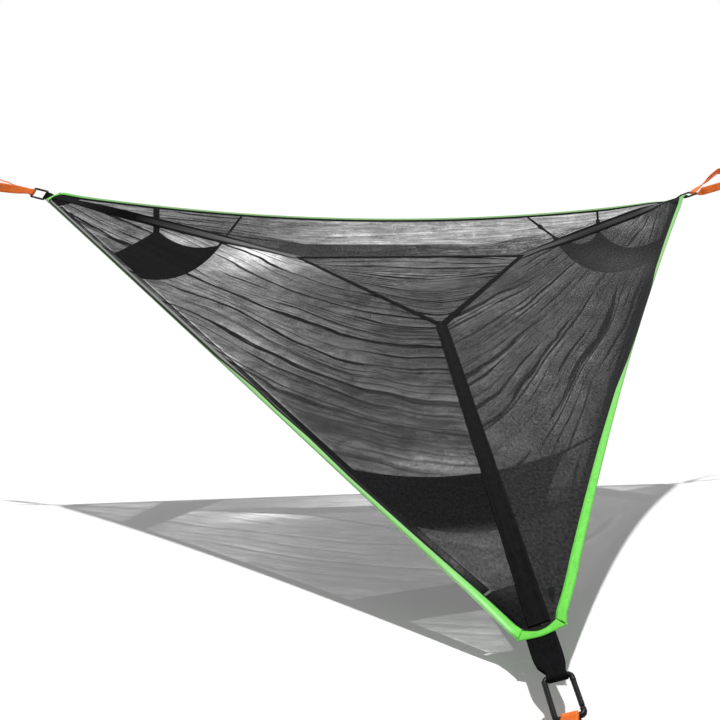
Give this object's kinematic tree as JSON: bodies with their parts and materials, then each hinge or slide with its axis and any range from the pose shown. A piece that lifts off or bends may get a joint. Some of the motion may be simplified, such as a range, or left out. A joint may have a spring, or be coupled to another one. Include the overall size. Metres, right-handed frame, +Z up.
{
  "type": "triangle hammock",
  "caption": "Triangular netting hammock with a triangular middle panel, straps to corner carabiners and tree slings, a bound hem and cloth pockets slung below.",
  "frame": {"origin": "centre of the triangle of corners, in the level plane that the corners hang in", "axes": "+Z up, +Y towards the rear edge, the front corner points to -Y, +X to the right"},
  "size_m": [3.7636, 3.2713, 0.2802],
  "materials": {
    "net": "fine dark grey netting, see-through",
    "webbing": "matt woven black",
    "binding": "woven lime green",
    "cloth": "plain black cloth",
    "anodised_metal": "satin black anodised",
    "spring_steel": "bright",
    "sling_webbing": "woven orange",
    "buckle_plastic": "satin"
  },
  "bodies": {
    "hammock": {"front_corner_binding": "binding", "front_corner_patch": "cloth", "front_corner_strap": "webbing", "front_pocket": "cloth", "front_pocket_tie_far": "webbing", "front_pocket_tie_near": "webbing", "front_strap_loop": "webbing", "hatch_flap": "cloth", "hatch_net_panel": "net", "left_corner_binding": "binding", "left_corner_patch": "cloth", "left_corner_strap": "webbing", "left_edge_binding": "binding", "left_edge_webbing": "webbing", "left_hatch_webbing": "webbing", "left_hem_cord": "webbing", "left_net_panel": "net", "left_pocket": "cloth", "left_pocket_tie_far": "webbing", "left_pocket_tie_near": "webbing", "left_strap_loop": "webbing", "rear_edge_binding": "binding", "rear_edge_webbing": "webbing", "rear_hatch_webbing": "webbing", "rear_hem_cord": "webbing", "rear_net_panel": "net", "right_adjuster_far": "buckle_plastic", "right_adjuster_near": "buckle_plastic", "right_corner_binding": "binding", "right_corner_patch": "cloth", "right_corner_strap": "webbing", "right_edge_binding": "binding", "right_edge_webbing": "webbing", "right_hatch_webbing": "webbing", "right_hem_cord": "webbing", "right_net_panel": "net", "right_pocket": "cloth", "right_pocket_tie_far": "webbing", "right_pocket_tie_near": "webbing", "right_strap_loop": "webbing"},
    "left_carabiner_body": {"left_carabiner": "anodised_metal", "left_gate_pin": "spring_steel"},
    "left_gate_body": {"left_gate": "anodised_metal", "left_gate_spring": "spring_steel"},
    "left_sling_body": {"left_tree_sling": "sling_webbing"},
    "right_carabiner_body": {"right_carabiner": "anodised_metal", "right_gate_pin": "spring_steel"},
    "right_gate_body": {"right_gate": "anodised_metal", "right_gate_spring": "spring_steel"},
    "right_sling_body": {"right_tree_sling": "sling_webbing"},
    "front_carabiner_body": {"front_carabiner": "anodised_metal", "front_gate_pin": "spring_steel"},
    "front_gate_body": {"front_gate": "anodised_metal", "front_gate_spring": "spring_steel"},
    "front_sling_body": {"front_tree_sling": "sling_webbing"}
  },
  "joints": [
    {"name": "left_carabiner_swing", "type": "hinge", "parent": "hammock", "child": "left_carabiner_body", "pos_m": [-1.43155, 0.82594, -0.00156], "axis": [-0.4092, -0.6744, -0.6146], "range_deg": [-60, 60]},
    {"name": "left_gate_hinge", "type": "hinge", "parent": "left_carabiner_body", "child": "left_gate_body", "pos_m": [-1.48835, 0.83808, -0.01123], "axis": [-0.2542, -0.5627, 0.7866], "range_deg": [0, 28], "stiffness_Nm_per_rad": 0.05, "springref_deg": -20.05},
    {"name": "left_sling_swing", "type": "hinge", "parent": "left_carabiner_body", "child": "left_sling_body", "pos_m": [-1.4929, 0.85941, 0.00256], "axis": [-0.4092, -0.6744, -0.6146], "range_deg": [-45, 45]},
    {"name": "right_carabiner_swing", "type": "hinge", "parent": "hammock", "child": "right_carabiner_body", "pos_m": [1.44761, 0.83607, 0.00044], "axis": [-0.5197, 0.843, -0.1389], "range_deg": [-60, 60]},
    {"name": "right_gate_hinge", "type": "hinge", "parent": "right_carabiner_body", "child": "right_gate_body", "pos_m": [1.48314, 0.88301, 0.00117], "axis": [-0.1296, 0.0829, 0.9881], "range_deg": [0, 28], "stiffness_Nm_per_rad": 0.05, "springref_deg": -20.05},
    {"name": "right_sling_swing", "type": "hinge", "parent": "right_carabiner_body", "child": "right_sling_body", "pos_m": [1.50672, 0.87328, 0.00508], "axis": [-0.5197, 0.843, -0.1389], "range_deg": [-45, 45]},
    {"name": "front_carabiner_swing", "type": "hinge", "parent": "hammock", "child": "front_carabiner_body", "pos_m": [-0.00354, -1.69958, 0.00128], "axis": [0.9391, -0.0394, 0.3415], "range_deg": [-60, 60]},
    {"name": "front_gate_hinge", "type": "hinge", "parent": "front_carabiner_body", "child": "front_gate_body", "pos_m": [0.01277, -1.75521, 0.01151], "axis": [-0.3381, 0.0733, 0.9382], "range_deg": [0, 28], "stiffness_Nm_per_rad": 0.05, "springref_deg": -20.05},
    {"name": "front_sling_swing", "type": "hinge", "parent": "front_carabiner_body", "child": "front_sling_body", "pos_m": [-0.00788, -1.76934, 0.00517], "axis": [0.9391, -0.0394, 0.3415], "range_deg": [-45, 45]}
  ]
}
